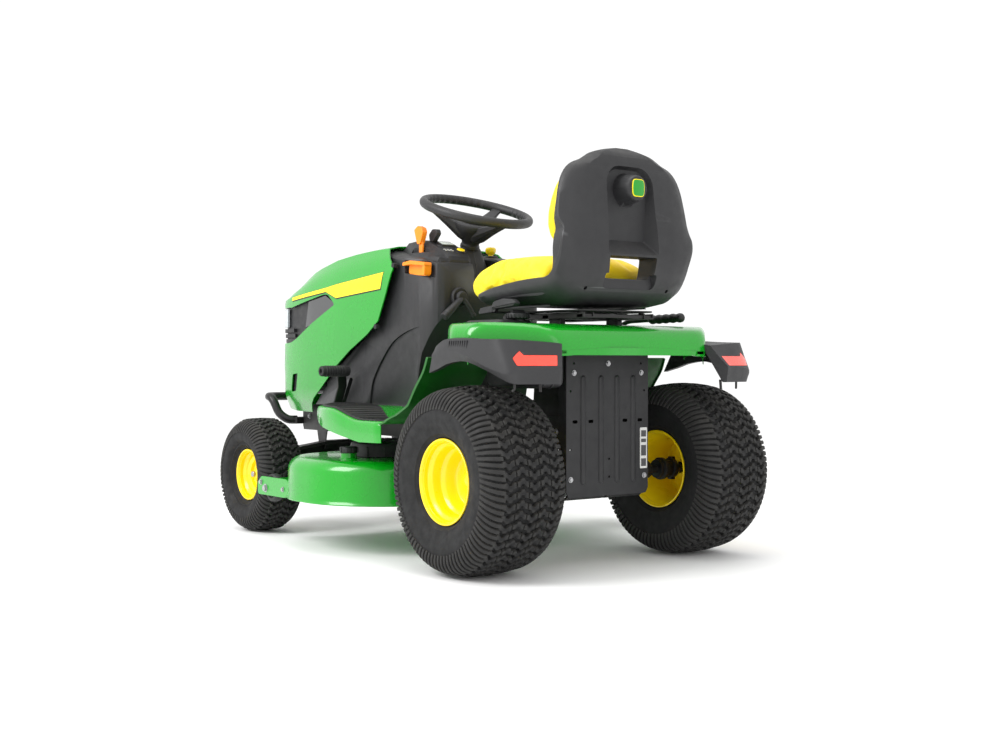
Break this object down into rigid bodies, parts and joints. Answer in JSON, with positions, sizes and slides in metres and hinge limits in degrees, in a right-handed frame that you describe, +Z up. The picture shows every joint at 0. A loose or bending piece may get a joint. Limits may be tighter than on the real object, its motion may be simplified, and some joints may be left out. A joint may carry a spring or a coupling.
{
  "type": "riding lawn mower",
  "caption": "Lawn tractor with a hinged green hood, a steered rocking front axle, a tilting yellow seat, and a lifting side-discharge mower deck with spinning blades.",
  "frame": {"origin": "bottom centre of the bounding box, on the ground, in line with the middle of the machine's length; the machine's centre plane is at x = 0.1175 because the discharge chute sticks out on the right", "axes": "+Z up, +Y towards the rear of the machine, +X towards its left side"},
  "size_m": [1.325, 1.8115, 1.158],
  "materials": {
    "green_paint": "gloss",
    "green_plastic": "gloss",
    "yellow_paint": "gloss",
    "charcoal_plastic": "matte",
    "black_paint": "satin",
    "steel": "satin",
    "aluminium_casting": "cast",
    "tyre_rubber": "matte",
    "rubber": "matte",
    "seat_vinyl": "matte",
    "orange_plastic": "gloss",
    "red_lens": "gloss",
    "clear_lens": "gloss",
    "yellow_plastic": "gloss"
  },
  "bodies": {
    "chassis": {"chassis_frame": "black_paint", "rear_plate": "charcoal_plastic", "front_bumper": "black_paint", "transaxle": "aluminium_casting", "engine_block": "aluminium_casting", "muffler": "steel", "drive_belt": "rubber", "fuel_tank": "charcoal_plastic", "dash_pedestal": "charcoal_plastic", "dash_top": "charcoal_plastic", "column_cover": "charcoal_plastic", "fender": "green_paint", "tail_panel_left": "charcoal_plastic", "tail_panel_right": "charcoal_plastic", "tail_lens_left": "red_lens", "tail_lens_right": "red_lens", "footrest_left": "green_paint", "footrest_right": "green_paint"},
    "engine_crank": {"engine_pulley": "steel"},
    "fuel_cap": {"fuel_cap": "charcoal_plastic"},
    "hood": {"hood_shell": "green_plastic", "hood_grille": "charcoal_plastic", "headlight_lens": "clear_lens"},
    "steering": {"steering_wheel": "charcoal_plastic", "steering_shaft": "steel"},
    "front_axle": {"front_axle": "black_paint"},
    "tie_rod": {"tie_rod": "steel"},
    "spindle_left": {"spindle_left": "black_paint"},
    "spindle_right": {"spindle_right": "black_paint"},
    "front_wheel_left": {"front_rim_left": "yellow_paint", "front_tyre_left": "tyre_rubber"},
    "front_wheel_right": {"front_rim_right": "yellow_paint", "front_tyre_right": "tyre_rubber"},
    "rear_wheel_left": {"rear_rim_left": "yellow_paint", "rear_tyre_left": "tyre_rubber", "rear_axle_shaft_left": "steel"},
    "rear_wheel_right": {"rear_rim_right": "yellow_paint", "rear_tyre_right": "tyre_rubber", "rear_axle_shaft_right": "steel"},
    "seat_base": {"seat_bracket": "black_paint"},
    "seat_adjuster": {"seat_adjust_lever": "charcoal_plastic"},
    "seat": {"seat_shell": "charcoal_plastic", "seat_cushion": "seat_vinyl", "back_cushion": "seat_vinyl"},
    "throttle": {"throttle_lever": "orange_plastic"},
    "choke": {"choke_lever": "charcoal_plastic"},
    "blade_switch": {"pto_knob": "yellow_plastic"},
    "ignition": {"ignition_key": "steel"},
    "park_brake": {"park_brake_latch": "orange_plastic"},
    "cruise_control": {"cruise_lever": "charcoal_plastic"},
    "brake_pedal": {"brake_pedal": "black_paint"},
    "forward_pedal": {"forward_pedal": "charcoal_plastic"},
    "reverse_pedal": {"reverse_pedal": "charcoal_plastic"},
    "lift_lever": {"lift_lever": "black_paint"},
    "deck": {"deck_shell": "green_paint"},
    "blade_left": {"blade_left": "steel"},
    "blade_right": {"blade_right": "steel"},
    "gauge_wheel_left": {"gauge_wheel_left": "rubber"},
    "gauge_wheel_right": {"gauge_wheel_right": "rubber"},
    "chute": {"discharge_chute": "charcoal_plastic"}
  },
  "joints": [
    {"name": "crank_spin", "type": "hinge", "parent": "chassis", "child": "engine_crank", "pos_m": [0.1175, -0.4855, 0.28], "axis": [0, 0, 1], "continuous": true},
    {"name": "fuel_cap_turn", "type": "hinge", "parent": "chassis", "child": "fuel_cap", "pos_m": [0.3325, 0.6045, 0.699], "axis": [0, 0, 1], "range_deg": [0, 120]},
    {"name": "hood_open", "type": "hinge", "parent": "chassis", "child": "hood", "pos_m": [0.1175, -0.8155, 0.42], "axis": [1, 0, 0], "range_deg": [0, 36]},
    {"name": "steering_turn", "type": "hinge", "parent": "chassis", "child": "steering", "pos_m": [0.1175, 0.1125, 1.046], "axis": [0, 0.3173, 0.9483], "range_deg": [-270, 270]},
    {"name": "axle_rock", "type": "hinge", "parent": "chassis", "child": "front_axle", "pos_m": [0.1175, -0.6005, 0.275], "axis": [0, 1, 0], "range_deg": [-8, 8]},
    {"name": "tie_rod_shift", "type": "slide", "parent": "front_axle", "child": "tie_rod", "axis": [1, 0, 0], "range_m": [-0.056, 0.056]},
    {"name": "steer_left", "type": "hinge", "parent": "front_axle", "child": "spindle_left", "pos_m": [0.3975, -0.6005, 0.1905], "axis": [0, 0, 1], "range_deg": [-33, 33]},
    {"name": "steer_right", "type": "hinge", "parent": "front_axle", "child": "spindle_right", "pos_m": [-0.1625, -0.6005, 0.1905], "axis": [0, 0, 1], "range_deg": [-33, 33]},
    {"name": "roll_front_left", "type": "hinge", "parent": "spindle_left", "child": "front_wheel_left", "pos_m": [0.5075, -0.6005, 0.1905], "axis": [1, 0, 0], "continuous": true},
    {"name": "roll_front_right", "type": "hinge", "parent": "spindle_right", "child": "front_wheel_right", "pos_m": [-0.2725, -0.6005, 0.1905], "axis": [1, 0, 0], "continuous": true},
    {"name": "roll_rear_left", "type": "hinge", "parent": "chassis", "child": "rear_wheel_left", "pos_m": [0.5005, 0.6445, 0.254], "axis": [1, 0, 0], "continuous": true},
    {"name": "roll_rear_right", "type": "hinge", "parent": "chassis", "child": "rear_wheel_right", "pos_m": [-0.2655, 0.6445, 0.254], "axis": [1, 0, 0], "continuous": true},
    {"name": "seat_slide", "type": "slide", "parent": "chassis", "child": "seat_base", "axis": [0, 1, 0], "range_m": [-0.06, 0.03]},
    {"name": "seat_tilt", "type": "hinge", "parent": "seat_base", "child": "seat", "pos_m": [0.1175, 0.4365, 0.713], "axis": [1, 0, 0], "range_deg": [0, 45]},
    {"name": "seat_adjust", "type": "hinge", "parent": "seat_base", "child": "seat_adjuster", "pos_m": [0.2825, 0.4865, 0.714], "axis": [0, 0, 1], "range_deg": [-20, 0], "stiffness_Nm_per_rad": 0.5},
    {"name": "throttle_move", "type": "hinge", "parent": "chassis", "child": "throttle", "pos_m": [0.2825, 0.0445, 0.888], "axis": [1, 0, 0], "range_deg": [-18, 18]},
    {"name": "choke_move", "type": "hinge", "parent": "chassis", "child": "choke", "pos_m": [0.2425, 0.0445, 0.888], "axis": [1, 0, 0], "range_deg": [-18, 18]},
    {"name": "blade_switch_pull", "type": "slide", "parent": "chassis", "child": "blade_switch", "axis": [0, 0, 1], "range_m": [0, 0.02]},
    {"name": "key_turn", "type": "hinge", "parent": "chassis", "child": "ignition", "pos_m": [0.0025, 0.1925, 0.84], "axis": [0, 1, 0], "range_deg": [-90, 0]},
    {"name": "park_brake_move", "type": "hinge", "parent": "chassis", "child": "park_brake", "pos_m": [0.3455, 0.0465, 0.866], "axis": [1, 0, 0], "range_deg": [-20, 0]},
    {"name": "cruise_move", "type": "hinge", "parent": "chassis", "child": "cruise_control", "pos_m": [0.2535, 0.2045, 0.76], "axis": [0, 1, 0], "range_deg": [-25, 25]},
    {"name": "brake_press", "type": "hinge", "parent": "chassis", "child": "brake_pedal", "pos_m": [0.3575, -0.3605, 0.372], "axis": [1, 0, 0], "range_deg": [0, 18], "stiffness_Nm_per_rad": 12, "springref_deg": -11.46},
    {"name": "forward_press", "type": "hinge", "parent": "chassis", "child": "forward_pedal", "pos_m": [-0.1125, -0.2555, 0.46], "axis": [1, 0, 0], "range_deg": [0, 15], "stiffness_Nm_per_rad": 6, "springref_deg": -11.46},
    {"name": "reverse_press", "type": "hinge", "parent": "chassis", "child": "reverse_pedal", "pos_m": [-0.1125, -0.1555, 0.46], "axis": [1, 0, 0], "range_deg": [0, 15], "stiffness_Nm_per_rad": 6, "springref_deg": -11.46},
    {"name": "lift_lever_pull", "type": "hinge", "parent": "chassis", "child": "lift_lever", "pos_m": [-0.1825, 0.4445, 0.636], "axis": [1, 0, 0], "range_deg": [0, 75]},
    {"name": "deck_lift", "type": "slide", "parent": "chassis", "child": "deck", "axis": [0, 0, 1], "range_m": [-0.076, 0]},
    {"name": "blade_left_spin", "type": "hinge", "parent": "deck", "child": "blade_left", "pos_m": [0.3795, -0.0205, 0.18], "axis": [0, 0, 1], "continuous": true},
    {"name": "blade_right_spin", "type": "hinge", "parent": "deck", "child": "blade_right", "pos_m": [-0.1445, 0.0145, 0.18], "axis": [0, 0, 1], "continuous": true},
    {"name": "gauge_left_roll", "type": "hinge", "parent": "deck", "child": "gauge_wheel_left", "pos_m": [0.5955, -0.3305, 0.168], "axis": [1, 0, 0], "continuous": true},
    {"name": "gauge_right_roll", "type": "hinge", "parent": "deck", "child": "gauge_wheel_right", "pos_m": [-0.3605, -0.3305, 0.168], "axis": [1, 0, 0], "continuous": true},
    {"name": "chute_raise", "type": "hinge", "parent": "deck", "child": "chute", "pos_m": [-0.4425, -0.0055, 0.273], "axis": [0, 1, 0], "range_deg": [0, 80]}
  ],
  "couplings": [
    {"joint": "steer_left", "follows": "steering_turn", "ratio": 0.11852},
    {"joint": "steer_right", "follows": "steering_turn", "ratio": 0.11852},
    {"joint": "tie_rod_shift", "follows": "steering_turn", "m_per_rad": -0.011246},
    {"joint": "deck_lift", "follows": "lift_lever_pull", "m_per_rad": -0.0573},
    {"joint": "blade_right_spin", "follows": "blade_left_spin", "ratio": 1}
  ]
}
